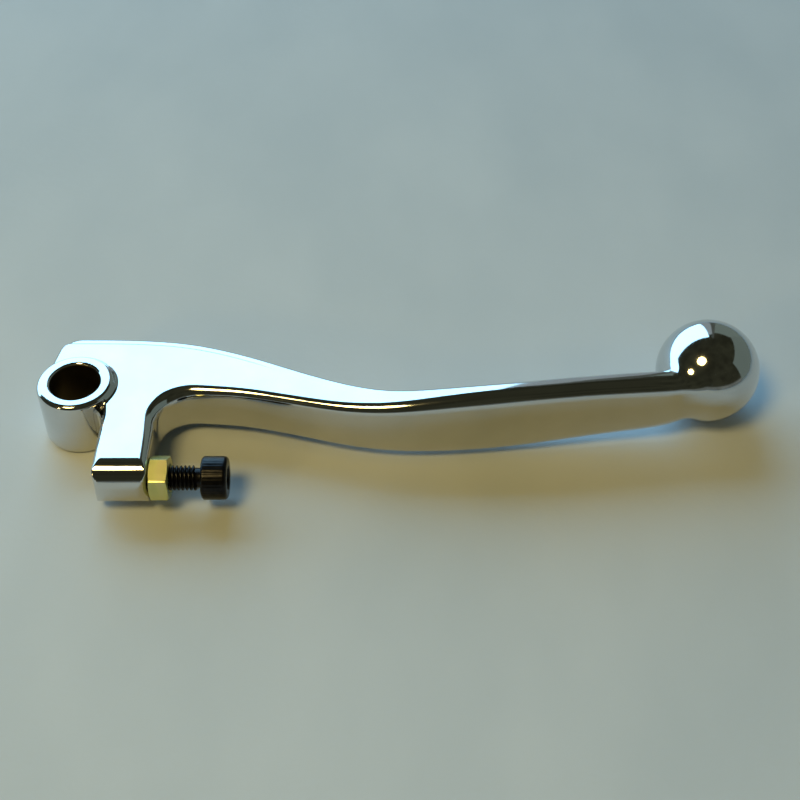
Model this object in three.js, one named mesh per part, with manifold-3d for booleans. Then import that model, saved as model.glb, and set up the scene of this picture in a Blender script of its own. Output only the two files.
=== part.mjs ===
// Clutch lever with a ball end and a threaded pushrod adjuster.
// Frame: millimetres, origin on the pivot axis in the lower boss face, +Z along the pivot axis,
// +X along the blade towards the ball, -Y along the adjuster leg towards the handlebar grip.
import * as THREE from "three";
import Module from "manifold-3d";

// Pivot boss
const BORE_RADIUS = 5.0;
const BOSS_RADIUS = 7.75;
const BOSS_HEIGHT = 13.3;
const BOSS_EDGE_ROUND = 1.05;
const BOSS_EDGE_STEPS = 4;

// Hub plate and leg, which share one thickness
const PLATE_THICKNESS = 10.7;
const PLATE_EDGE_ROUND = 1.75;
const MID_HEIGHT = BOSS_HEIGHT / 2;
const LEG_LEFT = 6.2;
const LEG_RIGHT = 16.9;
const LEG_END = -23.9;
const LEG_END_ROUND = 4.6;
const LEG_CORNER_ROUND = 2.2;
const PLATE_END = 24.5;

// Outline of the hub and leg: where it follows the boss, the hub's left corner, the crotch, the leg's root
const BOSS_ARC = [-0.95, -Math.PI - 0.2];
const HUB_LEFT_SIDE = [-5.9, 10.6];
const HUB_CORNER = [-5.4, 12.8, -4.6, 14.8, -1.8, 14.8];
const BACK_EDGE_START = 2;
const BACK_EDGE_STEP = 3;
const CROTCH = [20.4, -1.7, LEG_RIGHT, -4.4, LEG_RIGHT, -9.4];
const LEG_ROOT = [5.1, -9];
const PLATE_EDGE_STEPS = 4;
const OUTLINE_STEPS = 12;
const LEG_END_STEPS = 10;

// Ball end
const BALL_RADIUS = 10.5;
const BALL_SIDES = 48;
const BALL_RINGS = 28;
const BALL_CENTRE = new THREE.Vector3(128.5, 6.0, BALL_RADIUS);

// Blade: at each distance x along the lever, the two long faces, the height and the edge radius
const BLADE_START = 20;
const BLADE_FINISH = 130;
const BLADE_RISE_START = 24;
const BLADE_RISE = 3.5;
const BACK_FACE = [
  [-4, 14.8], [9, 14.7], [15, 14.3], [20, 13.8], [25, 12.8], [29.2, 11.6], [35.3, 9.4], [45.5, 4.3],
  [53.5, 0.5], [61.5, -2.6], [67, -3.2], [73.2, -3.1], [81, -2.7], [89, -2.1], [97, -1.0], [105, 0.0],
  [113, 0.9], [118, 1.5], [122, 2.2], [126, 3.6], [130, 5.4],
];
const FRONT_FACE = [
  [24, -1.6], [29.2, -1.8], [35.3, -2.7], [45.5, -5.5], [53.5, -7.8], [61.5, -9.1], [67, -9.3],
  [73.2, -9.1], [81, -8.6], [89, -7.8], [97, -6.8], [105, -5.8], [113, -5.1], [118, -4.7],
  [122, -4.1], [126, -2.6], [130, 1.6],
];
const BLADE_HEIGHT = [
  [20, 10.7], [24, 10.7], [35, 10.7], [45.5, 10.9], [53.5, 11.6], [61.5, 12.8], [67, 13.9],
  [73.2, 15.0], [81, 15.8], [89, 15.9], [97, 15.2], [105, 14.4], [113, 13.7], [118, 13.3],
  [122, 12.6], [126, 10.6], [130, 6.0],
];
const EDGE_ROUND = [
  [20, 1.75], [45.5, 1.75], [61.5, 2.0], [73.2, 2.6], [85, 2.9], [105, 2.7], [118, 2.9], [126, 3.0], [130, 2.6],
];
const BLADE_STATIONS = 56;
const CORNER_STEPS = 6;
const HIDDEN_INSET = 0.1;
const HIDDEN_END = PLATE_END - 1;
const LEAST_FLAT = 0.1;

// Adjuster screw (M5 x 20 socket head) and its hex lock nut, both along X through the leg
const SCREW_Y = -20.05;
const THREAD_RADIUS = 2.45;
const THREAD_CLEARANCE = 0.1;
const SCREW_TIP = 7.05;
const SHANK_LENGTH = 20;
const TIP_CHAMFER = 0.6;
const HEAD_RADIUS = 4.25;
const HEAD_LENGTH = 5;
const HEAD_CHAMFER = 0.5;
const SOCKET_FLATS = 4;
const SOCKET_DEPTH = 2.5;
const NUT_FLATS = 8;
const NUT_THICKNESS = 3.7;
const NUT_GAP = 0.15;
const NUT_TURN = THREE.MathUtils.degToRad(20);
const NUT_FACE_RADIUS = 3.84;
const CHAMFER_ANGLE = THREE.MathUtils.degToRad(30);
const CORNER_MARGIN = 0.02;

const ROUND_STEPS = 64;
const SMALL_ROUND_STEPS = 40;
const QUARTER = Math.PI / 2;
const CUT_LENGTH = 60;

const ALLOY = { color: 0xd9dde0, roughness: 0.12, metalness: 1 };
const BLACK_STEEL = { color: 0x1c1d20, roughness: 0.45, metalness: 1 };
const YELLOW_ZINC = { color: 0xc9b45a, roughness: 0.35, metalness: 1 };

const wasm = await Module();
wasm.setup();

// ---- Solids: turning three.js geometry into solids that can be joined and cut, and back ----

function mergeVertices(geometry) {
  const position = geometry.attributes.position;
  const index = geometry.index ? Array.from(geometry.index.array) : [...Array(position.count).keys()];
  const slots = new Map();
  const points = [];
  const remap = [];
  for (let i = 0; i < position.count; i += 1) {
    const point = [position.getX(i), position.getY(i), position.getZ(i)];
    const key = point.map((v) => Math.round(v * 1e5)).join(",");
    if (!slots.has(key)) {
      slots.set(key, points.length / 3);
      points.push(...point);
    }
    remap.push(slots.get(key));
  }
  const triangles = [];
  for (let i = 0; i < index.length; i += 3) {
    const [a, b, c] = [remap[index[i]], remap[index[i + 1]], remap[index[i + 2]]];
    if (a !== b && b !== c && c !== a) {
      triangles.push(a, b, c);
    }
  }
  return { points, triangles };
}

function solid(geometry) {
  const { points, triangles } = mergeVertices(geometry);
  return new wasm.Manifold(
    new wasm.Mesh({
      numProp: 3,
      vertProperties: new Float32Array(points),
      triVerts: new Uint32Array(triangles),
    }),
  );
}

function joined(solids) {
  return solids.reduce((whole, next) => whole.add(next));
}

function named(name, shape, finish) {
  const mesh = shape.getMesh();
  const geometry = new THREE.BufferGeometry();
  geometry.setAttribute("position", new THREE.BufferAttribute(new Float32Array(mesh.vertProperties), 3));
  geometry.setIndex(new THREE.BufferAttribute(new Uint32Array(mesh.triVerts), 1));
  geometry.computeVertexNormals();
  const node = new THREE.Mesh(geometry, new THREE.MeshStandardMaterial(finish));
  node.name = name;
  return node;
}

// ---- Curves ----

// Smooth value at x of a curve through [x, value] stations; it stays flat beyond the ends.
function along(stations, x) {
  const last = stations.length - 1;
  if (x <= stations[0][0]) {
    return stations[0][1];
  }
  if (x >= stations[last][0]) {
    return stations[last][1];
  }
  const i = stations.findIndex((station) => station[0] > x) - 1;
  const slope = (k) => {
    const before = stations[Math.max(k - 1, 0)];
    const after = stations[Math.min(k + 1, last)];
    return (after[1] - before[1]) / (after[0] - before[0]);
  };
  const [x0, v0] = stations[i];
  const [x1, v1] = stations[i + 1];
  const width = x1 - x0;
  const t = (x - x0) / width;
  return (
    (2 * t ** 3 - 3 * t ** 2 + 1) * v0 +
    (t ** 3 - 2 * t ** 2 + t) * width * slope(i) +
    (3 * t ** 2 - 2 * t ** 3) * v1 +
    (t ** 3 - t ** 2) * width * slope(i + 1)
  );
}

// Height of the blade's middle plane: level through the hub, then a steady rise to the ball.
function middle(x) {
  const share = Math.max(0, (x - BLADE_RISE_START) / (BALL_CENTRE.x - BLADE_RISE_START));
  return MID_HEIGHT + share * BLADE_RISE;
}

// ---- Lever body ----

// Outline of the hub and leg seen from above, from the boss round the back edge and down the leg.
function plateOutline() {
  const shape = new THREE.Shape();
  shape.absarc(0, 0, BOSS_RADIUS - HIDDEN_INSET, ...BOSS_ARC, true);
  shape.lineTo(...HUB_LEFT_SIDE);
  shape.bezierCurveTo(...HUB_CORNER);
  for (let x = BACK_EDGE_START; x < PLATE_END; x += BACK_EDGE_STEP) {
    shape.lineTo(x, along(BACK_FACE, x));
  }
  shape.lineTo(PLATE_END, along(BACK_FACE, PLATE_END));
  shape.lineTo(PLATE_END, along(FRONT_FACE, PLATE_END));
  shape.bezierCurveTo(...CROTCH);
  const cornerY = LEG_END + LEG_CORNER_ROUND;
  shape.absarc(LEG_RIGHT - LEG_CORNER_ROUND, cornerY, LEG_CORNER_ROUND, 0, -QUARTER, true);
  shape.absarc(LEG_LEFT + LEG_CORNER_ROUND, cornerY, LEG_CORNER_ROUND, -QUARTER, -2 * QUARTER, true);
  shape.lineTo(...LEG_ROOT);
  shape.closePath();
  return shape;
}

function plate() {
  const geometry = new THREE.ExtrudeGeometry(plateOutline(), {
    depth: PLATE_THICKNESS - 2 * PLATE_EDGE_ROUND,
    bevelEnabled: true,
    bevelThickness: PLATE_EDGE_ROUND,
    bevelSize: PLATE_EDGE_ROUND,
    bevelOffset: -PLATE_EDGE_ROUND,
    bevelSegments: PLATE_EDGE_STEPS,
    curveSegments: OUTLINE_STEPS,
  });
  geometry.translate(0, 0, MID_HEIGHT - PLATE_THICKNESS / 2 + PLATE_EDGE_ROUND);
  return solid(geometry);
}

// Long bar along X whose front corners are rounded; what lies outside it is taken off the leg's end.
function legEndEnvelope() {
  const low = MID_HEIGHT - PLATE_THICKNESS / 2;
  const high = MID_HEIGHT + PLATE_THICKNESS / 2;
  const back = CUT_LENGTH / 2;
  const profile = new THREE.Shape();
  profile.moveTo(back, low);
  profile.lineTo(LEG_END + LEG_END_ROUND, low);
  profile.absarc(LEG_END + LEG_END_ROUND, low + LEG_END_ROUND, LEG_END_ROUND, -QUARTER, -2 * QUARTER, true);
  profile.absarc(LEG_END + LEG_END_ROUND, high - LEG_END_ROUND, LEG_END_ROUND, 2 * QUARTER, QUARTER, true);
  profile.lineTo(back, high);
  profile.closePath();
  const geometry = new THREE.ExtrudeGeometry(profile, {
    depth: CUT_LENGTH,
    bevelEnabled: false,
    curveSegments: LEG_END_STEPS,
  });
  geometry.applyMatrix4(
    new THREE.Matrix4().makeBasis(
      new THREE.Vector3(0, 1, 0),
      new THREE.Vector3(0, 0, 1),
      new THREE.Vector3(1, 0, 0),
    ),
  );
  geometry.translate(-CUT_LENGTH / 2, 0, 0);
  return solid(geometry);
}

// Point of the blade's rounded-rectangle section; side counts points round the section.
function sectionPoint(x, side, inset) {
  const corner = Math.floor(side / CORNER_STEPS) % 4;
  const turn = (corner + (side % CORNER_STEPS) / (CORNER_STEPS - 1)) * QUARTER;
  const back = along(BACK_FACE, x) - inset;
  const front = along(FRONT_FACE, x) + inset;
  const halfHeight = along(BLADE_HEIGHT, x) / 2 - inset;
  const halfWidth = (back - front) / 2;
  const round = Math.min(along(EDGE_ROUND, x), halfWidth - LEAST_FLAT, halfHeight - LEAST_FLAT);
  const right = corner === 0 || corner === 3 ? 1 : -1;
  const up = corner < 2 ? 1 : -1;
  return [
    (back + front) / 2 + right * (halfWidth - round) + round * Math.cos(turn),
    middle(x) + up * (halfHeight - round) + round * Math.sin(turn),
  ];
}

// The blade is a cylinder whose rings are drawn out into the sections, station by station.
function blade() {
  const sides = 4 * CORNER_STEPS;
  const geometry = new THREE.CylinderGeometry(1, 1, 1, sides, BLADE_STATIONS);
  const position = geometry.attributes.position;
  for (let i = 0; i < position.count; i += 1) {
    const [px, py, pz] = [position.getX(i), position.getY(i), position.getZ(i)];
    const x = BLADE_START + (py + 0.5) * (BLADE_FINISH - BLADE_START);
    const inset = x < HIDDEN_END ? HIDDEN_INSET : 0;
    if (Math.hypot(px, pz) < 0.5) {
      const centre = (along(BACK_FACE, x) + along(FRONT_FACE, x)) / 2;
      position.setXYZ(i, x, centre, middle(x));
    } else {
      const angle = (Math.atan2(px, pz) + 2 * Math.PI) % (2 * Math.PI);
      const side = Math.round((angle / (2 * Math.PI)) * sides) % sides;
      const [y, z] = sectionPoint(x, side, inset);
      position.setXYZ(i, x, y, z);
    }
  }
  return solid(geometry);
}

function ball() {
  const geometry = new THREE.SphereGeometry(BALL_RADIUS, BALL_SIDES, BALL_RINGS);
  geometry.rotateX(QUARTER);
  geometry.translate(BALL_CENTRE.x, BALL_CENTRE.y, BALL_CENTRE.z);
  return solid(geometry);
}

// Solid of revolution about the Z axis from [radius, height] points that start and end on the axis.
function turned(points, steps) {
  return new THREE.LatheGeometry(
    points.map(([r, z]) => new THREE.Vector2(r, z)),
    steps,
  ).rotateX(QUARTER);
}

function boss() {
  const points = [[0, 0]];
  for (const [height, first] of [[BOSS_EDGE_ROUND, -QUARTER], [BOSS_HEIGHT - BOSS_EDGE_ROUND, 0]]) {
    for (let step = 0; step <= BOSS_EDGE_STEPS; step += 1) {
      const angle = first + (step / BOSS_EDGE_STEPS) * QUARTER;
      points.push([
        BOSS_RADIUS - BOSS_EDGE_ROUND + BOSS_EDGE_ROUND * Math.cos(angle),
        height + BOSS_EDGE_ROUND * Math.sin(angle),
      ]);
    }
  }
  points.push([0, BOSS_HEIGHT]);
  return solid(turned(points, ROUND_STEPS));
}

function pivotBore() {
  return solid(
    new THREE.CylinderGeometry(BORE_RADIUS, BORE_RADIUS, CUT_LENGTH, ROUND_STEPS)
      .rotateX(QUARTER)
      .translate(0, 0, MID_HEIGHT),
  );
}

function alongScrew(geometry) {
  return solid(geometry.rotateY(QUARTER).translate(0, SCREW_Y, MID_HEIGHT));
}

// Plain round hole that stands in for the thread in the leg and in the nut.
function adjusterHole() {
  const radius = THREAD_RADIUS + THREAD_CLEARANCE;
  return alongScrew(
    new THREE.CylinderGeometry(radius, radius, CUT_LENGTH, SMALL_ROUND_STEPS).rotateX(QUARTER),
  );
}

function leverBody() {
  const forging = joined([plate().intersect(legEndEnvelope()), blade(), ball(), boss()]);
  return forging.subtract(pivotBore()).subtract(adjusterHole());
}

// ---- Adjuster screw and lock nut ----

function hexPrism(flats, length) {
  return new THREE.CylinderGeometry(flats / Math.sqrt(3), flats / Math.sqrt(3), length, 6).rotateX(QUARTER);
}

function adjusterScrew() {
  const head = SCREW_TIP + SHANK_LENGTH;
  const end = head + HEAD_LENGTH;
  const profile = [
    [0, SCREW_TIP],
    [THREAD_RADIUS - TIP_CHAMFER, SCREW_TIP],
    [THREAD_RADIUS, SCREW_TIP + TIP_CHAMFER],
    [THREAD_RADIUS, head],
    [HEAD_RADIUS, head],
    [HEAD_RADIUS, end - HEAD_CHAMFER],
    [HEAD_RADIUS - HEAD_CHAMFER, end],
    [0, end],
  ];
  const socket = hexPrism(SOCKET_FLATS, 2 * SOCKET_DEPTH).translate(0, 0, end);
  return alongScrew(turned(profile, SMALL_ROUND_STEPS)).subtract(alongScrew(socket));
}

function lockNut() {
  const near = LEG_RIGHT + NUT_GAP;
  const far = near + NUT_THICKNESS;
  const cornerRadius = NUT_FLATS / Math.sqrt(3) + CORNER_MARGIN;
  const chamfer = (cornerRadius - NUT_FACE_RADIUS) * Math.tan(CHAMFER_ANGLE);
  const prism = hexPrism(NUT_FLATS, CUT_LENGTH).rotateZ(NUT_TURN);
  const rounded = turned(
    [
      [0, near],
      [NUT_FACE_RADIUS, near],
      [cornerRadius, near + chamfer],
      [cornerRadius, far - chamfer],
      [NUT_FACE_RADIUS, far],
      [0, far],
    ],
    SMALL_ROUND_STEPS,
  );
  return alongScrew(prism).intersect(alongScrew(rounded)).subtract(adjusterHole());
}

const group = new THREE.Group();
group.name = "clutch_lever";
group.add(named("lever_body", leverBody(), ALLOY));
group.add(named("adjuster_screw", adjusterScrew(), BLACK_STEEL));
group.add(named("adjuster_locknut", lockNut(), YELLOW_ZINC));

export default group;
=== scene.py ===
"""Looks of the clutch lever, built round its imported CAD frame.

The pieces are a polished forging, a black cap screw and a yellow lock nut. Shapes are worked out in
millimetres in the row frame and become metres when their meshes are made.
"""

import math

import bpy
import numpy as np
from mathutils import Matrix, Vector


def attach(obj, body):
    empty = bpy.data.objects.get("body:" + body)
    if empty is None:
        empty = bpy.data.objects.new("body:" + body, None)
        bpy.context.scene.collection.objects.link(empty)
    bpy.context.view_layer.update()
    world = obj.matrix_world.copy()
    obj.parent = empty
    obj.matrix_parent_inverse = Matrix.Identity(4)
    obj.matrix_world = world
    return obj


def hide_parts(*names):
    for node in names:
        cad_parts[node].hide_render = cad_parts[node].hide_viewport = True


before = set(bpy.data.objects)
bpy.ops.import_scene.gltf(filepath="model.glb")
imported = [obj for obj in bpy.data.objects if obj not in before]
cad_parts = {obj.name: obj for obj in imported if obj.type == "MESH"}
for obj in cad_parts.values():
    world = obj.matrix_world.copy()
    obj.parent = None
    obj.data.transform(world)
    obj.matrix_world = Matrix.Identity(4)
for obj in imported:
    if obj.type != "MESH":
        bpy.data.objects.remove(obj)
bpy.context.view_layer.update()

MM = 0.001
FULL_TURN = 2 * math.pi

# ---- Sizes of the forging, in millimetres ----
MID_HEIGHT = 6.65
BORE_RADIUS = 5.0
BORE_CHAMFER = 0.4
BOSS_RADIUS = 7.75
BOSS_HEIGHT = 13.3
BOSS_EDGE_ROUND = 1.05
BOSS_FOOT_ROUND = 0.95
BOSS_SIDE_ROUND = 0.3
BOSS_FOOT_REACH = 1.5
PLATE_THICKNESS = 10.7
SHOULDER_WIDTH = 2.7
SHOULDER_SLOPE = math.tan(math.radians(5))
SHOULDER_STEP = 0.2
SHOULDER_STEP_WIDTH = 0.3
SHOULDER_FADE = (35.0, 60.0)
HUB_SIDE_TILT = math.radians(10.6)
HUB_SIDE_INSET = 0.25
HUB_CORNER_ROUND = 4.2
LEG_LEFT = 6.2
LEG_RIGHT = 16.9
LEG_END = -23.9
LEG_ROOT = 5.0
LEG_END_ROUND = 4.6
LEG_CORNER_ROUND = 2.2
NOSE_START = -14.0
CROTCH_ROUND = 7.8
CROTCH_PLACE = (19.0, -5.0)
CROTCH_SPREAD = 5.0
CROTCH_EDGE_ROUND = 0.9
BLADE_END = 131.0
BALL_RADIUS = 10.5
BALL_CENTRE = (128.5, 6.0, 10.5)
BALL_NECK_REACH = 2.2

# Blade: (distance along X, value) for its two long faces, height, edge radius and middle plane
BACK_FACE = [
    (-30, 15.2), (9, 15.1), (15, 14.7), (20, 14.2), (25, 13.1), (29.2, 11.7), (35.3, 9.4), (45.5, 4.3),
    (53.5, 0.5), (61.5, -2.6), (67, -3.2), (73.2, -3.1), (81, -2.7), (89, -2.1), (97, -1.0), (105, 0.0),
    (113, 0.9), (118, 1.5), (122, 2.2), (126, 3.6), (130, 5.4),
]
FRONT_FACE = [
    (-30, 2.5), (8, -0.8), (24, -1.6), (29.2, -1.8), (35.3, -2.7), (45.5, -5.5), (53.5, -7.8), (61.5, -9.1),
    (67, -9.3), (73.2, -9.1), (81, -8.6), (89, -7.8), (97, -6.8), (105, -5.8), (113, -5.1), (118, -4.7),
    (122, -4.1), (126, -2.6), (130, 1.6),
]
BLADE_HEIGHT = [
    (-30, 10.7), (35, 10.7), (45.5, 10.9), (53.5, 11.6), (61.5, 12.8), (67, 13.9), (73.2, 15.0), (81, 15.8),
    (89, 15.9), (97, 15.2), (105, 14.4), (113, 13.7), (118, 13.3), (122, 12.6), (126, 10.6), (130, 6.0),
]
EDGE_ROUND = [
    (-30, 1.75), (45.5, 1.75), (61.5, 2.0), (73.2, 2.6), (85, 2.9), (105, 2.7), (118, 2.9), (126, 3.0),
    (130, 2.6),
]
MIDDLE_PLANE = [(-30, MID_HEIGHT), (24, MID_HEIGHT), (128.5, 10.15), (150, 10.87)]
CURVE_SPAN = (-40.0, 160.0)
CURVE_STEP = 0.1
# Places that each value is evened out over, as shares of the spread
EVENING_SHARES = np.arange(-30, 31) / 10

# Mesh of the forging: cell size, edge softness, passes onto the surface and least squared slope in them
CELL = 0.3
SOFTNESS = 0.22
SURFACE_PASSES = 5
LEAST_SLOPE = 0.05
# Distances given where a cut doesn't reach
DEEP_INSIDE = -1.0
WELL_OUTSIDE = 1.0

# ---- Sizes of the adjuster, in millimetres ----
SCREW_Y = -20.05
THREAD_RADIUS = 2.45
THREAD_DEPTH = 0.48
THREAD_PITCH = 0.8
THREAD_RING_STEP = 0.1
# Thread flanks run from the crest's edge to the root's edge, both in pitches from the crest's middle
CREST_EDGE = 1 / 8
ROOT_EDGE = 7 / 16
HOLE_RADIUS = 2.55
HOLE_CHAMFER = 0.4
SCREW_TIP = 7.05
TIP_CHAMFER = 0.6
SHANK_LENGTH = 20.0
NECK_LENGTH = 1.2
THREAD_RUNOUT = 0.3
NECK_FILLET = 0.25
HEAD_RADIUS = 4.25
HEAD_LENGTH = 5.0
HEAD_FOOT_CHAMFER = 0.3
HEAD_FOOT_INSET = 0.05
HEAD_EDGE_ROUND = 0.7
HEAD_EDGE_INSET = 0.04
HEAD_EDGE_RINGS = 7
KNURL_TEETH = 36
KNURL_DEPTH = 0.06
KNURL_STARTS = (0.45, 0.8)
KNURL_END_GAP = 0.15
SOCKET_FLATS = 4.0
SOCKET_FLAT_DIRECTION = math.radians(30)
SOCKET_DEPTH = 2.5
SOCKET_CHAMFER = 0.2
SOCKET_CORNER_CUT = 0.05
SOCKET_LEAD = 0.45
SOCKET_CONE_DEPTH = 0.6
SOCKET_CONE_END = 0.35
NUT_START = 17.05
NUT_THICKNESS = 3.7
NUT_FLATS = 8.0
NUT_RIM_SHARE = 0.98
NUT_CHAMFER_ANGLE = math.radians(22)
NUT_CHAMFER_SHARES = np.linspace(0.12, 1, 8)
NUT_COUNTERSINK = 0.3
NUT_FLAT_DIRECTION = math.radians(52)
SIDES = 144
SCREW_SHARP_ANGLE = math.radians(38)
NUT_SHARP_ANGLE = math.radians(20)

# ---- Light, in metres: a window and grey walls, two warm lamps and a dim room ----
# Upright panes: name, one end and other end on the floor plan, low and high edge, colour, strength
PANES = [
    ("window", (-8.0, 2.0), (0.18, 2.0), (0.12, 3.0), (0.39, 0.73, 1.0), 3.45),
    ("window_frame", (0.18, 2.0), (0.50, 2.0), (0.0, 2.3), (0.80, 0.95, 1.0), 0.36),
    ("wall_corner", (0.50, 2.0), (0.68, 2.0), (0.0, 3.4), (0.88, 1.0, 0.86), 0.09),
    ("back_wall", (0.68, 2.0), (2.0, 2.0), (0.0, 1.9), (0.78, 1.0, 0.88), 0.20),
    ("side_wall", (2.0, 2.0), (2.0, -0.8), (0.0, 1.7), (0.78, 1.0, 0.88), 0.18),
]
# Lamps: place, radius, radiance
LAMPS = [((-0.192, -0.290, 0.70), 0.130, 14.6), ((-0.55, -0.60, 0.34), 0.045, 30.0)]
LAMP_COLOUR = (1.0, 0.75, 0.28)
# Room: pale walls up to WALL_TOP, dim above, its strength uneven as (noise from, to, strength from, to)
WALL_TOP = math.radians(6)
WALL_FADE = 0.03
WALL_COLOUR = (0.13, 0.145, 0.13)
ROOM_COLOUR = (0.027, 0.028, 0.017)
ROOM_PATCHES = 3.0
ROOM_UNEVENNESS = (0.35, 0.65, 0.75, 1.3)
FLOOR_REACH = 4.0

CAMERA_PLACE = (0.06539, -0.19973, 0.20872)
CAMERA_TILT = math.radians(44.85)
CAMERA_LENS = 62.56
CAMERA_CLIP = 0.01

# ---- Materials: noise scales per metre, (noise value, colour) stops, roughness spans ----
# Bumps are (strength, distance in metres)
ALLOY_COLOURS = [(0.3, (0.62, 0.625, 0.625)), (0.7, (0.67, 0.675, 0.675))]
HAZE_SCALE = (140, 140, 140)
HAZE_ROUGHNESS = (0.05, 0.09)
WHEEL_LINE_SCALE = (250, 9000, 9000)
WHEEL_LINE_ROUGHNESS = (0.0, 0.03)
WHEEL_LINE_BUMP = (0.06, 0.00002)
WAVE_SCALE = (70, 110, 110)
WAVE_BUMP = (0.25, 0.0004)
# Bore wall: painted shade colour standing for the shade inside the bore, added roughness, and reach past
# BORE_RADIUS and fade in millimetres
BORE_SHADE_COLOUR = (0.10, 0.08, 0.05)
BORE_DULLNESS = 0.35
BORE_MARGIN = 0.1
BORE_FADE = 0.15
OXIDE_COLOURS = [(0.3, (0.008, 0.008, 0.010)), (0.7, (0.022, 0.021, 0.022))]
OXIDE_MOTTLE_SCALE = (900, 900, 900)
OXIDE_MOTTLE_BUMP = (0.1, 0.00001)
OIL_FILM_SCALE = (260, 400, 400)
OIL_FILM_ROUGHNESS = (0.285, 0.34)
ZINC_COLOURS = [(0.3, (0.54, 0.57, 0.24)), (0.5, (0.64, 0.64, 0.27)), (0.7, (0.66, 0.61, 0.32))]
ZINC_TINT_SCALE = (300, 160, 160)
ZINC_GRAIN_SCALE = (300, 900, 900)
ZINC_ROUGHNESS = (0.285, 0.35)
FLOOR_COLOURS = [(0.35, (0.58, 0.635, 0.68)), (0.65, (0.63, 0.68, 0.72))]
FLOOR_PATCH_SCALE = (28, 16, 16)
FIBRE_SCALE = (500, 500, 500)
FIBRE_BUMP = (0.25, 0.0002)


# ---- Curves and shape fields ----

def even_curve(stations, spread):
    """Curve through (x, value) stations, evened out over spread: its value and the cosine of its slope."""
    grid = np.arange(*CURVE_SPAN, CURVE_STEP)
    value = np.interp(grid, *np.transpose(stations))
    reach = EVENING_SHARES * spread
    weight = np.exp(-0.5 * (reach / spread) ** 2)
    value = sum(w * np.interp(grid + r, grid, value) for r, w in zip(reach, weight / weight.sum()))
    lean = np.cos(np.arctan(np.gradient(value, CURVE_STEP)))
    return lambda x: (np.interp(x, grid, value), np.interp(x, grid, lean))


back_face = even_curve(BACK_FACE, spread=3.5)
front_face = even_curve(FRONT_FACE, spread=3.0)
blade_height = even_curve(BLADE_HEIGHT, spread=4.0)
edge_round = even_curve(EDGE_ROUND, spread=5.0)
middle_plane = even_curve(MIDDLE_PLANE, spread=6.0)


def rounded(out, up, radius):
    """Distance from what lies inside both sides, with the edge between them rounded."""
    out, up = out + radius, up + radius
    inner = np.minimum(np.maximum(out, up), 0)
    return inner + np.hypot(np.maximum(out, 0), np.maximum(up, 0)) - radius


def filleted(a, b, radius):
    """Distance from two joined shapes with a round fillet between them."""
    corner = np.hypot(np.maximum(radius - a, 0), np.maximum(radius - b, 0))
    return np.maximum(radius, np.minimum(a, b)) - corner


def melted(a, b, reach):
    """Distance from two joined shapes that flow into each other within reach."""
    share = np.maximum(reach - np.abs(a - b), 0) / reach
    return np.minimum(a, b) - share**2 * reach / 4


def outline(x, y):
    """Distance from the outline of hub, leg and blade seen from above."""
    back, back_lean = back_face(x)
    front, front_lean = front_face(x)
    back_side = (y - back) * back_lean
    front_side = (front - y) * front_lean
    left_side = y * math.sin(HUB_SIDE_TILT) - x * math.cos(HUB_SIDE_TILT) - BOSS_RADIUS + HUB_SIDE_INSET
    hub = rounded(left_side, back_side, HUB_CORNER_ROUND)
    blade = np.maximum(np.maximum(hub, front_side), x - BLADE_END)
    leg_side = np.abs(x - (LEG_LEFT + LEG_RIGHT) / 2) - (LEG_RIGHT - LEG_LEFT) / 2
    leg = np.maximum(rounded(leg_side, LEG_END - y, LEG_CORNER_ROUND), y - LEG_ROOT)
    return filleted(blade, leg, CROTCH_ROUND)


def shoulder_drop(x, y):
    """Height lost along the hub's sloping back shoulder, which starts with a small step."""
    back, back_lean = back_face(x)
    shoulder = np.maximum((y - back) * back_lean + SHOULDER_WIDTH, 0)
    drop = shoulder * SHOULDER_SLOPE + np.minimum(shoulder / SHOULDER_STEP_WIDTH, 1) * SHOULDER_STEP
    return drop * np.interp(x, SHOULDER_FADE, (1, 0))


def body_field(points, plan):
    """Distance from hub, leg, blade and ball, given the distance from their outline."""
    x, y, z = points.T
    up = np.abs(z - middle_plane(x)[0]) - blade_height(x)[0] / 2 + shoulder_drop(x, y)
    crotch = np.hypot(x - CROTCH_PLACE[0], y - CROTCH_PLACE[1]) / CROTCH_SPREAD
    body = rounded(plan, up, edge_round(x)[0] + CROTCH_EDGE_ROUND * np.exp(-0.5 * crotch**2))
    nose = rounded(LEG_END - y, np.abs(z - MID_HEIGHT) - PLATE_THICKNESS / 2, LEG_END_ROUND)
    body = np.maximum(body, np.where(y < NOSE_START, nose, DEEP_INSIDE))
    ball = np.linalg.norm(points - np.array(BALL_CENTRE), axis=1) - BALL_RADIUS
    return melted(body, ball, BALL_NECK_REACH)


def screw_hole(x, y, z):
    """Distance from the screw's hole through the leg, wider at its chamfered mouths."""
    off_screw = np.hypot(y - SCREW_Y, z - MID_HEIGHT)
    off_centre = np.abs(x - (LEG_LEFT + LEG_RIGHT) / 2)
    mouth = np.maximum(off_centre - (LEG_RIGHT - LEG_LEFT) / 2 + HOLE_CHAMFER, 0)
    return np.where(off_centre < LEG_RIGHT - LEG_LEFT, off_screw - HOLE_RADIUS - mouth, WELL_OUTSIDE)


def lever_field(points):
    """Distance from the surface of the forging, negative inside the metal."""
    x, y, z = points.T
    plan = outline(x, y)
    off_pivot = np.hypot(x, y)
    off_middle = np.abs(z - MID_HEIGHT)
    boss = rounded(off_pivot - BOSS_RADIUS, off_middle - BOSS_HEIGHT / 2, BOSS_EDGE_ROUND)
    share = np.clip(-plan / BOSS_FOOT_REACH, 0, 1)
    fillet = BOSS_SIDE_ROUND + share * (BOSS_FOOT_ROUND - BOSS_SIDE_ROUND)
    body = filleted(body_field(points, plan), boss, fillet)
    bore = off_pivot - BORE_RADIUS - np.maximum(off_middle - BOSS_HEIGHT / 2 + BORE_CHAMFER, 0)
    return np.maximum(np.maximum(body, -bore), -screw_hole(x, y, z))


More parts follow.
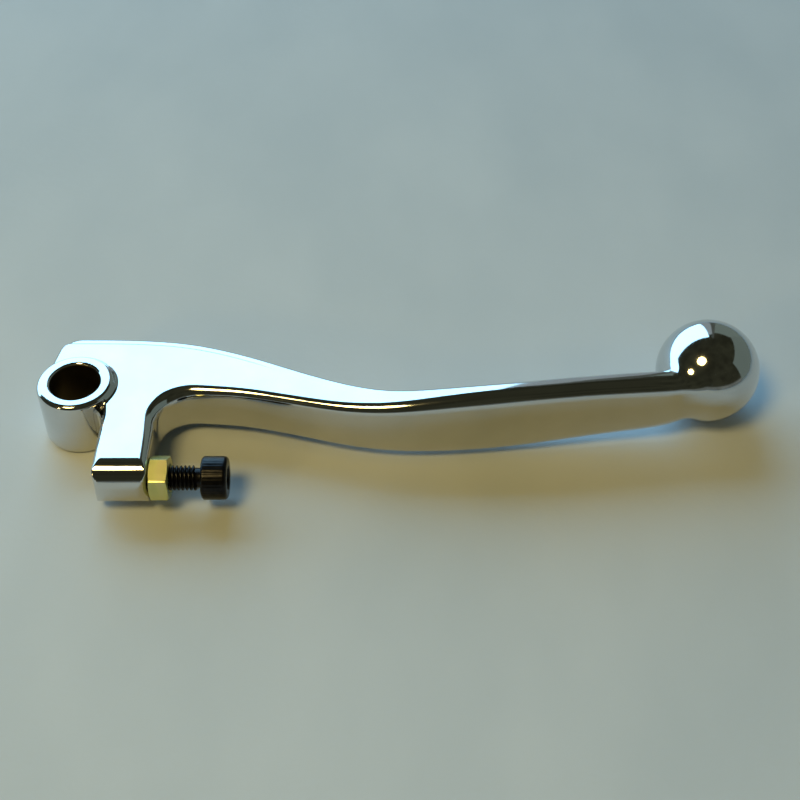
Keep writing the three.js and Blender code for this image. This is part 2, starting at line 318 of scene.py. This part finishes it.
def probe(points):
    """Value and slope of the lever's field, evened out over SOFTNESS so that no edge is knife sharp."""
    value = np.zeros(len(points))
    slope = np.empty_like(points)
    for axis in range(3):
        step = np.zeros(3)
        step[axis] = SOFTNESS
        ahead, behind = lever_field(points + step), lever_field(points - step)
        value += (ahead + behind) / 6
        slope[:, axis] = (ahead - behind) / (2 * SOFTNESS)
    return value, slope


# ---- Meshes ----

def shown(name, mesh, body, stands_for, material):
    """Puts a finished mesh in the scene in place of its CAD node."""
    piece = bpy.data.objects.new(name, mesh)
    bpy.context.scene.collection.objects.link(piece)
    mesh.materials.clear()
    mesh.materials.append(material)
    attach(piece, body)
    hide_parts(stands_for)


def even_mesh(node):
    """Copy of a CAD node's mesh remade with even cells."""
    copy = bpy.data.objects.new("even_copy", node.data.copy())
    bpy.context.scene.collection.objects.link(copy)
    remesh = copy.modifiers.new("even", "REMESH")
    remesh.mode = "VOXEL"
    remesh.voxel_size = CELL * MM
    remesh.use_smooth_shade = True
    graph = bpy.context.evaluated_depsgraph_get()
    mesh = bpy.data.meshes.new_from_object(copy.evaluated_get(graph))
    bpy.data.objects.remove(copy)
    return mesh


def lever_mesh(node):
    """Even mesh moved onto the surface of the lever's field, shaded with the field's own normals."""
    mesh = even_mesh(node)
    flat = np.empty(len(mesh.vertices) * 3)
    mesh.vertices.foreach_get("co", flat)
    points = flat.reshape(-1, 3) / MM
    for _ in range(SURFACE_PASSES):
        value, slope = probe(points)
        steep = np.maximum((slope**2).sum(1), LEAST_SLOPE)
        points -= slope * (value / steep)[:, None]
    _, slope = probe(points)
    normals = slope / np.linalg.norm(slope, axis=1)[:, None]
    mesh.vertices.foreach_set("co", (points * MM).ravel())
    mesh.update()
    mesh.normals_split_custom_set_from_vertices(normals.tolist())
    return mesh


def turned_mesh(name, rings, capped, sharp):
    """Closed mesh round the adjuster's axis from (x, radius) rings; the radius may vary round a ring.

    With capped, the first and last ring are closed by caps. Without it, the last ring joins the first.
    """
    angle = np.arange(SIDES) / SIDES * FULL_TURN
    points = []
    for x, radius in rings:
        ring = np.empty((SIDES, 3))
        ring[:, 0] = x
        ring[:, 1] = SCREW_Y + radius * np.cos(angle)
        ring[:, 2] = MID_HEIGHT + radius * np.sin(angle)
        points.append(ring)
    count = len(rings)
    faces = []
    for i in range(count - 1 if capped else count):
        for j in range(SIDES):
            k = (j + 1) % SIDES
            after = (i + 1) % count
            faces.append((i * SIDES + j, after * SIDES + j, after * SIDES + k, i * SIDES + k))
    points = np.concatenate(points)
    if capped:
        first, last = len(points), len(points) + 1
        start, end = points[:SIDES].mean(0), points[-SIDES:].mean(0)
        points = np.concatenate([points, [start, end]])
        for j in range(SIDES):
            k = (j + 1) % SIDES
            faces.append((first, j, k))
            faces.append((last, (count - 1) * SIDES + k, (count - 1) * SIDES + j))
    mesh = bpy.data.meshes.new(name)
    mesh.from_pydata((points * MM).tolist(), [], faces)
    mesh.shade_smooth()
    mesh.set_sharp_from_angle(angle=sharp)
    return mesh


def hexagon(flats, direction):
    """Radius of a hexagon at each side of a ring; direction is where one of its flats faces."""
    angle = np.arange(SIDES) / SIDES * FULL_TURN
    sixth = FULL_TURN / 6
    return flats / 2 / np.cos((angle - direction + sixth / 2) % sixth - sixth / 2)


def thread_radius(x):
    """Radius of the screw's right-hand thread at each side of the ring at x."""
    angle = np.arange(SIDES) / SIDES
    phase = (x / THREAD_PITCH - angle) % 1
    depth = np.clip((np.abs(phase - 0.5) - CREST_EDGE) / (ROOT_EDGE - CREST_EDGE), 0, 1)
    return THREAD_RADIUS - THREAD_DEPTH * depth


def screw_mesh():
    """Cap screw: chamfered tip, thread, knurled head with rounded edges and a hex socket."""
    head = SCREW_TIP + SHANK_LENGTH
    end = head + HEAD_LENGTH
    rings = []
    for x in np.arange(SCREW_TIP, head - NECK_LENGTH, THREAD_RING_STEP):
        tip = THREAD_RADIUS - TIP_CHAMFER + (x - SCREW_TIP)
        rings.append((x, np.minimum(thread_radius(x), tip)))
    core = THREAD_RADIUS - THREAD_DEPTH
    rings.append((head - NECK_LENGTH + THREAD_RUNOUT, core))
    rings += [(head - NECK_FILLET, core), (head, core + NECK_FILLET)]
    foot = HEAD_RADIUS - HEAD_FOOT_INSET
    rings += [(head, foot - HEAD_FOOT_CHAMFER), (head + HEAD_FOOT_CHAMFER, foot)]
    teeth = (1 - np.cos(np.arange(SIDES) / SIDES * FULL_TURN * KNURL_TEETH)) / 2
    knurl = HEAD_RADIUS - KNURL_DEPTH * teeth
    rings += [(head + start, knurl) for start in KNURL_STARTS]
    rings.append((end - HEAD_EDGE_ROUND - KNURL_END_GAP, knurl))
    for turn in np.linspace(0, FULL_TURN / 4, HEAD_EDGE_RINGS):
        inset = HEAD_EDGE_INSET + HEAD_EDGE_ROUND * (1 - math.cos(turn))
        rings.append((end - HEAD_EDGE_ROUND * (1 - math.sin(turn)), HEAD_RADIUS - inset))
    socket = hexagon(SOCKET_FLATS, SOCKET_FLAT_DIRECTION)
    mouth = socket.max() + SOCKET_CHAMFER
    lead = np.maximum(socket, socket.max() - SOCKET_CORNER_CUT)
    rings += [(end, mouth), (end - SOCKET_CHAMFER, lead), (end - SOCKET_LEAD, socket)]
    rings.append((end - SOCKET_DEPTH, socket))
    rings.append((end - SOCKET_DEPTH - SOCKET_CONE_DEPTH, SOCKET_CONE_END))
    return turned_mesh("cap_screw", rings, capped=True, sharp=SCREW_SHARP_ANGLE)


def nut_mesh():
    """Hex nut with both rims chamfered and a countersunk hole."""
    end = NUT_START + NUT_THICKNESS
    prism = hexagon(NUT_FLATS, NUT_FLAT_DIRECTION)
    rim = NUT_FLATS / 2 * NUT_RIM_SHARE
    width = prism.max() - rim
    depth = width * math.tan(NUT_CHAMFER_ANGLE)
    chamfer = [(depth * share, np.minimum(prism, rim + width * share)) for share in NUT_CHAMFER_SHARES]
    mouth = HOLE_RADIUS + NUT_COUNTERSINK
    rings = [(NUT_START, mouth), (NUT_START, rim)]
    rings += [(NUT_START + inset, radius) for inset, radius in chamfer]
    rings += [(end - inset, radius) for inset, radius in reversed(chamfer)]
    rings += [(end, rim), (end, mouth), (end - NUT_COUNTERSINK, HOLE_RADIUS)]
    rings.append((NUT_START + NUT_COUNTERSINK, HOLE_RADIUS))
    return turned_mesh("hex_nut", rings, capped=False, sharp=NUT_SHARP_ANGLE)


# ---- Materials ----

class Nodes:
    """Small helper that adds nodes to a material and links them."""

    def __init__(self, name):
        self.material = bpy.data.materials.new(name)
        self.material.use_nodes = True
        self.tree = self.material.node_tree
        self.surface = self.tree.nodes["Principled BSDF"]
        self.place = self.tree.nodes.new("ShaderNodeTexCoord").outputs["Object"]

    def link(self, source, target):
        """Joins a node's output to another node's input."""
        self.tree.links.new(source, target)

    def stretched(self, scale):
        """The object's own coordinates in metres, times scale."""
        node = self.tree.nodes.new("ShaderNodeMapping")
        node.inputs["Scale"].default_value = scale
        self.link(self.place, node.inputs["Vector"])
        return node.outputs["Vector"]

    def noise(self, scale, detail=2.0, rough=0.5):
        """Soft noise, mostly between 0.3 and 0.7."""
        node = self.tree.nodes.new("ShaderNodeTexNoise")
        node.inputs["Scale"].default_value = 1.0
        node.inputs["Detail"].default_value = detail
        node.inputs["Roughness"].default_value = rough
        self.link(self.stretched(scale), node.inputs["Vector"])
        return node.outputs["Fac"]

    def spread(self, value, low, high, start=0.3, end=0.7):
        """Maps value from start..end to low..high."""
        node = self.tree.nodes.new("ShaderNodeMapRange")
        for key, number in zip(("From Min", "From Max", "To Min", "To Max"), (start, end, low, high)):
            node.inputs[key].default_value = number
        self.link(value, node.inputs["Value"])
        return node.outputs["Result"]

    def ramp(self, value, stops):
        """Colour for value, from stops of (value, colour); added stops start halfway and are then moved."""
        node = self.tree.nodes.new("ShaderNodeValToRGB")
        points = node.color_ramp.elements
        while len(points) < len(stops):
            points.new(0.5)
        for point, (place, colour) in zip(points, stops):
            point.position = place
            point.color = (*colour, 1)
        self.link(value, node.inputs["Fac"])
        return node.outputs["Color"]

    def mixed(self, share, a, colour):
        """Colour a where share is 0 and the given plain colour where it is 1."""
        node = self.tree.nodes.new("ShaderNodeMix")
        node.data_type = "RGBA"
        self.link(share, node.inputs["Factor"])
        self.link(a, node.inputs["A"])
        node.inputs["B"].default_value = (*colour, 1)
        return node.outputs["Result"]

    def near_pivot(self, radius):
        """1 inside radius millimetres of the pivot axis, 0 outside."""
        node = self.tree.nodes.new("ShaderNodeVectorMath")
        node.operation = "LENGTH"
        self.link(self.stretched((1 / MM, 1 / MM, 0)), node.inputs[0])
        return self.spread(node.outputs["Value"], 1, 0, radius, radius + BORE_FADE)

    def plus(self, a, b):
        """Sum of two values."""
        node = self.tree.nodes.new("ShaderNodeMath")
        self.link(a, node.inputs[0])
        self.link(b, node.inputs[1])
        return node.outputs["Value"]

    def bump(self, heights):
        """Stacks (height, strength, distance in metres) bumps onto the surface's normal."""
        normal = None
        for height, strength, distance in heights:
            node = self.tree.nodes.new("ShaderNodeBump")
            node.inputs["Strength"].default_value = strength
            node.inputs["Distance"].default_value = distance
            self.link(height, node.inputs["Height"])
            if normal:
                self.link(normal, node.inputs["Normal"])
            normal = node.outputs["Normal"]
        self.link(normal, self.surface.inputs["Normal"])

    def set(self, **values):
        """Sets the surface's plain values by name."""
        for name, value in values.items():
            self.surface.inputs[name.replace("_", " ").title()].default_value = value


def polished_alloy():
    """Near-mirror aluminium with polishing waves, wheel lines and haze; the bore is rough, and dark brown
    is painted into it as painted shade.
    """
    n = Nodes("polished_alloy")
    n.set(metallic=1.0)
    haze = n.noise(HAZE_SCALE, detail=3.0)
    lines = n.noise(WHEEL_LINE_SCALE)
    waves = n.noise(WAVE_SCALE, detail=1.0, rough=0.3)
    # Mask of the bore's wall: it carries the painted shade colour, dark brown for the shade inside the
    # bore, and the added roughness
    bore = n.near_pivot(BORE_RADIUS + BORE_MARGIN)
    bright = n.ramp(haze, ALLOY_COLOURS)
    n.link(n.mixed(bore, bright, BORE_SHADE_COLOUR), n.surface.inputs["Base Color"])
    rough = n.plus(n.spread(haze, *HAZE_ROUGHNESS), n.spread(lines, *WHEEL_LINE_ROUGHNESS))
    n.link(n.plus(rough, n.spread(bore, 0, BORE_DULLNESS, 0, 1)), n.surface.inputs["Roughness"])
    n.bump([(waves, *WAVE_BUMP), (lines, *WHEEL_LINE_BUMP)])
    return n.material


def black_oxide():
    """Black oxide steel: dark, softly glossy, slightly mottled with an oily film."""
    n = Nodes("black_oxide_steel")
    n.set(metallic=0.85)
    mottle = n.noise(OXIDE_MOTTLE_SCALE, detail=4.0)
    film = n.noise(OIL_FILM_SCALE)
    n.link(n.ramp(mottle, OXIDE_COLOURS), n.surface.inputs["Base Color"])
    n.link(n.spread(film, *OIL_FILM_ROUGHNESS), n.surface.inputs["Roughness"])
    n.bump([(mottle, *OXIDE_MOTTLE_BUMP)])
    return n.material


def yellow_zinc():
    """Yellow-passivated zinc on steel: brassy, with faint green and rose tints."""
    n = Nodes("yellow_zinc_steel")
    n.set(metallic=0.7)
    tint = n.noise(ZINC_TINT_SCALE, detail=1.0)
    grain = n.noise(ZINC_GRAIN_SCALE, detail=1.0)
    n.link(n.ramp(tint, ZINC_COLOURS), n.surface.inputs["Base Color"])
    n.link(n.spread(grain, *ZINC_ROUGHNESS), n.surface.inputs["Roughness"])
    return n.material


def pale_paper():
    """Pale floor with the faint unevenness of paper."""
    n = Nodes("pale_floor")
    n.set(roughness=0.75)
    patches = n.noise(FLOOR_PATCH_SCALE, detail=3.0)
    fibre = n.noise(FIBRE_SCALE, detail=4.0)
    n.link(n.ramp(patches, FLOOR_COLOURS), n.surface.inputs["Base Color"])
    n.bump([(fibre, *FIBRE_BUMP)])
    return n.material


def glow(name, colour, strength):
    """Material of a light source."""
    material = bpy.data.materials.new(name)
    material.use_nodes = True
    tree = material.node_tree
    tree.nodes.clear()
    light = tree.nodes.new("ShaderNodeEmission")
    light.inputs["Color"].default_value = (*colour, 1)
    light.inputs["Strength"].default_value = strength
    tree.links.new(light.outputs["Emission"], tree.nodes.new("ShaderNodeOutputMaterial").inputs["Surface"])
    return material


# ---- Floor, lights and camera ----

def staged(name, points, faces, material):
    """Mesh that belongs to the setting and not to the lever."""
    mesh = bpy.data.meshes.new(name)
    mesh.from_pydata(points, [], faces)
    mesh.materials.append(material)
    piece = bpy.data.objects.new(name, mesh)
    bpy.context.scene.collection.objects.link(piece)
    return piece


def add_floor():
    """Wide pale floor at the height that the lever lies on."""
    reach = FLOOR_REACH
    corners = [(-reach, -reach, 0), (reach, -reach, 0), (reach, reach, 0), (-reach, reach, 0)]
    staged("floor", corners, [(0, 1, 2, 3)], pale_paper())


def add_panes():
    """Window and pale walls, which light the lever and show in its polish."""
    for name, start, end, (low, high), colour, strength in PANES:
        corners = [(*start, low), (*end, low), (*end, high), (*start, high)]
        pane = staged(name, corners, [(0, 1, 2, 3)], glow(f"{name}_light", colour, strength))
        pane.visible_camera = False


def add_lamps():
    """Small warm lamps in front and to the left."""
    for number, (place, radius, radiance) in enumerate(LAMPS, 1):
        light = bpy.data.lights.new(f"lamp_{number}", "AREA")
        light.shape = "DISK"
        light.size = 2 * radius
        light.color = LAMP_COLOUR
        light.energy = radiance * (math.pi * radius) ** 2
        lamp = bpy.data.objects.new(light.name, light)
        lamp.location = place
        lamp.rotation_euler = Vector(place).to_track_quat("Z", "Y").to_euler()
        bpy.context.scene.collection.objects.link(lamp)


def add_room():
    """Surroundings: pale walls low down and a dim room above them."""
    world = bpy.data.worlds.new("room")
    world.use_nodes = True
    tree = world.node_tree
    place = tree.nodes.new("ShaderNodeTexCoord")
    split = tree.nodes.new("ShaderNodeSeparateXYZ")
    ramp = tree.nodes.new("ShaderNodeValToRGB")
    patches = tree.nodes.new("ShaderNodeTexNoise")
    patches.inputs["Scale"].default_value = ROOM_PATCHES
    uneven = tree.nodes.new("ShaderNodeMapRange")
    for key, number in zip(("From Min", "From Max", "To Min", "To Max"), ROOM_UNEVENNESS):
        uneven.inputs[key].default_value = number
    low, high = ramp.color_ramp.elements
    top = math.sin(WALL_TOP)
    low.position, high.position = top - WALL_FADE, top + WALL_FADE
    low.color, high.color = (*WALL_COLOUR, 1), (*ROOM_COLOUR, 1)
    tree.links.new(place.outputs["Generated"], split.inputs["Vector"])
    tree.links.new(split.outputs["Z"], ramp.inputs["Fac"])
    tree.links.new(ramp.outputs["Color"], tree.nodes["Background"].inputs["Color"])
    tree.links.new(place.outputs["Generated"], patches.inputs["Vector"])
    tree.links.new(patches.outputs["Fac"], uneven.inputs["Value"])
    tree.links.new(uneven.outputs["Result"], tree.nodes["Background"].inputs["Strength"])
    bpy.context.scene.world = world


def add_camera():
    """Camera fitted to the view that the looks were matched in."""
    camera = bpy.data.objects.new("camera", bpy.data.cameras.new("camera"))
    camera.data.lens = CAMERA_LENS
    camera.data.clip_start = CAMERA_CLIP
    camera.location = CAMERA_PLACE
    camera.rotation_euler = (CAMERA_TILT, 0, 0)
    bpy.context.scene.collection.objects.link(camera)
    bpy.context.scene.camera = camera


# ---- The scene ----

shown("lever_forging", lever_mesh(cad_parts["lever_body"]), "lever", "lever_body",
      polished_alloy())
shown("cap_screw", screw_mesh(), "screw", "adjuster_screw", black_oxide())
shown("hex_nut", nut_mesh(), "locknut", "adjuster_locknut", yellow_zinc())

add_floor()
add_panes()
add_lamps()
add_room()
add_camera()
bpy.context.scene.view_settings.view_transform = "Standard"
